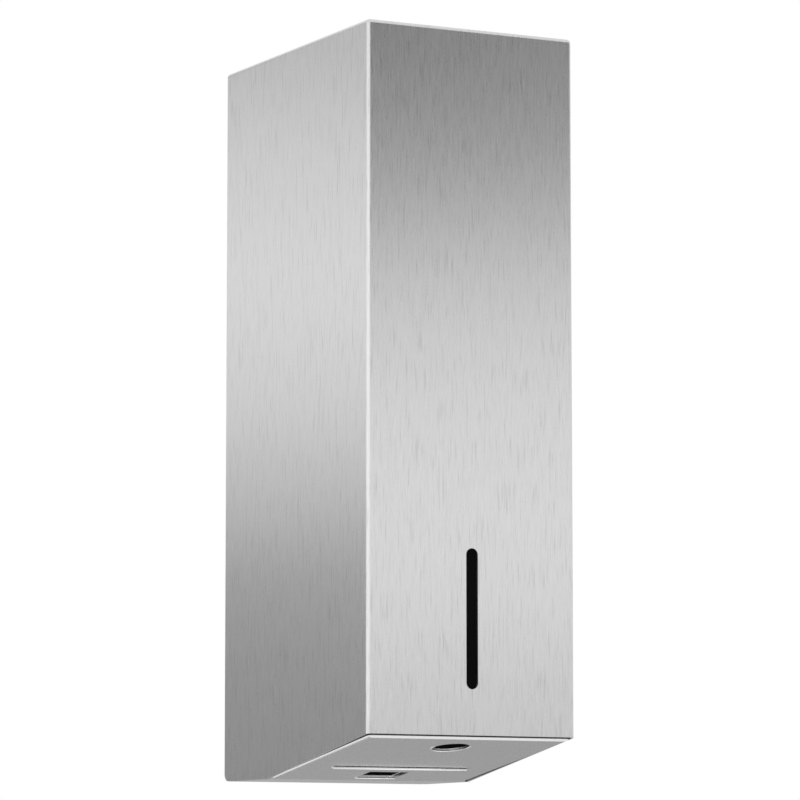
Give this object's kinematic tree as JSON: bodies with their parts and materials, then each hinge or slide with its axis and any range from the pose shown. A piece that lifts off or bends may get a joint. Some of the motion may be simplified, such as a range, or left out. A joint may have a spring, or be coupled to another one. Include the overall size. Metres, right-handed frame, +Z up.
{
  "type": "touchless sanitizer dispenser",
  "caption": "Wall-mounted touchless sanitizer dispenser: a folded brushed-steel hood that swings open over a refillable tank, a motor-driven hose pump and a hand sensor.",
  "frame": {"origin": "centre of the four wall holes, on the wall plane", "axes": "+Y into the wall, front faces -Y, +Z up, +X to the right seen from the front"},
  "size_m": [0.1, 0.142, 0.321],
  "materials": {
    "hood_steel": "fine vertical brushing",
    "pan_steel": "fine brushing along the depth",
    "chassis_steel": "zinc-plated sheet, dull",
    "fastener_steel": "bright zinc",
    "lock_chrome": "nickel-plated",
    "tank_plastic": "translucent natural polyethylene",
    "cap_plastic": "moulded blue",
    "smoked_pane": "smoked, almost black",
    "black_rubber": "matte",
    "pump_plastic": "fine moulded texture",
    "clear_cover": "clear acrylic",
    "silicone": "translucent silicone",
    "rotor_plastic": "natural acetal",
    "pinion_brass": "turned",
    "motor_can": "drawn steel can",
    "contact_metal": "nickel-plated spring strip",
    "battery_plastic": "moulded",
    "cell_jacket": "printed-free film jacket",
    "board_green": "solder mask",
    "chip_black": "moulded packages",
    "standoff_brass": "turned",
    "control_plastic": "moulded red",
    "lens_dark": "infrared-pass",
    "light_guide": "milky light guide",
    "lead_jacket": "sleeved pair of wires"
  },
  "bodies": {
    "chassis": {"back_plate": "chassis_steel", "hinge_pins": "fastener_steel", "hood_buffers": "black_rubber", "lock_keeper": "chassis_steel", "bottom_pan": "pan_steel", "plate_screws": "fastener_steel", "support_deck": "chassis_steel", "deck_grommet": "black_rubber", "tank_rest": "chassis_steel", "tank": "tank_plastic", "tank_lid": "tank_plastic", "feed_nipple": "tank_plastic", "pump_block": "pump_plastic", "pump_cover": "clear_cover", "pump_screws": "fastener_steel", "pump_tube": "silicone", "outlet_nozzle": "pump_plastic", "stud_nuts": "fastener_steel", "drive_motor": "motor_can", "motor_tags": "contact_metal", "motor_screws": "fastener_steel", "drive_bracket": "chassis_steel", "bracket_screws": "fastener_steel", "battery_box": "battery_plastic", "battery_cells": "cell_jacket", "battery_contacts": "contact_metal", "control_board": "board_green", "board_standoffs": "standoff_brass", "board_screws": "fastener_steel", "board_chips": "chip_black", "sensor_housing": "pump_plastic", "sensor_divider": "pan_steel", "sensor_lenses": "lens_dark", "status_light": "light_guide", "battery_lead": "lead_jacket", "motor_lead": "lead_jacket", "sensor_lead": "lead_jacket"},
    "hood": {"hood_shell": "hood_steel", "hinge_straps": "chassis_steel", "sight_pane": "smoked_pane", "lock_barrel": "lock_chrome", "lock_nut": "fastener_steel"},
    "lock": {"lock_plug": "lock_chrome", "lock_cam": "fastener_steel", "cam_screw": "fastener_steel"},
    "cap": {"filler_cap": "cap_plastic", "cap_seal": "black_rubber"},
    "rotor": {"pump_shaft": "fastener_steel", "pump_rotor": "rotor_plastic", "roller_pins": "fastener_steel", "drive_gear": "rotor_plastic"},
    "roller_a": {"roller_a": "rotor_plastic"},
    "roller_b": {"roller_b": "rotor_plastic"},
    "roller_c": {"roller_c": "rotor_plastic"},
    "pinion": {"motor_pinion": "pinion_brass", "motor_spindle": "fastener_steel"},
    "battery_door": {"battery_door": "battery_plastic"},
    "dose_slider": {"dose_slider": "control_plastic"},
    "power_button": {"power_button": "control_plastic"}
  },
  "joints": [
    {"name": "hood_hinge", "type": "hinge", "parent": "chassis", "child": "hood", "pos_m": [0, -0.014, -0.154], "axis": [1, 0, 0], "range_deg": [0, 90]},
    {"name": "lock_turn", "type": "hinge", "parent": "hood", "child": "lock", "pos_m": [0, -0.022, 0.15], "axis": [0, 0, 1], "range_deg": [0, 90]},
    {"name": "cap_turn", "type": "hinge", "parent": "chassis", "child": "cap", "pos_m": [0, -0.098, 0.108], "axis": [0, 0, 1], "range_deg": [0, 90]},
    {"name": "rotor_spin", "type": "hinge", "parent": "chassis", "child": "rotor", "pos_m": [0, -0.078, -0.104], "axis": [1, 0, 0], "continuous": true},
    {"name": "pinion_spin", "type": "hinge", "parent": "chassis", "child": "pinion", "pos_m": [0.012, -0.05962, -0.08562], "axis": [1, 0, 0], "continuous": true},
    {"name": "roller_spin_a", "type": "hinge", "parent": "rotor", "child": "roller_a", "pos_m": [0, -0.078, -0.0905], "axis": [1, 0, 0], "continuous": true},
    {"name": "roller_spin_b", "type": "hinge", "parent": "rotor", "child": "roller_b", "pos_m": [0, -0.08969, -0.11075], "axis": [1, 0, 0], "continuous": true},
    {"name": "roller_spin_c", "type": "hinge", "parent": "rotor", "child": "roller_c", "pos_m": [0, -0.06631, -0.11075], "axis": [1, 0, 0], "continuous": true},
    {"name": "door_slide", "type": "slide", "parent": "chassis", "child": "battery_door", "axis": [0, -1, 0], "range_m": [0, 0.025]},
    {"name": "dose_slide", "type": "slide", "parent": "chassis", "child": "dose_slider", "axis": [1, 0, 0], "range_m": [0, 0.004]},
    {"name": "power_press", "type": "slide", "parent": "chassis", "child": "power_button", "axis": [0, 1, 0], "range_m": [0, 0.0008], "stiffness_N_per_m": 300}
  ],
  "couplings": [
    {"joint": "pinion_spin", "follows": "rotor_spin", "ratio": -3.3333},
    {"joint": "roller_spin_a", "follows": "rotor_spin", "ratio": -4.0667},
    {"joint": "roller_spin_b", "follows": "rotor_spin", "ratio": -4.0667},
    {"joint": "roller_spin_c", "follows": "rotor_spin", "ratio": -4.0667}
  ]
}
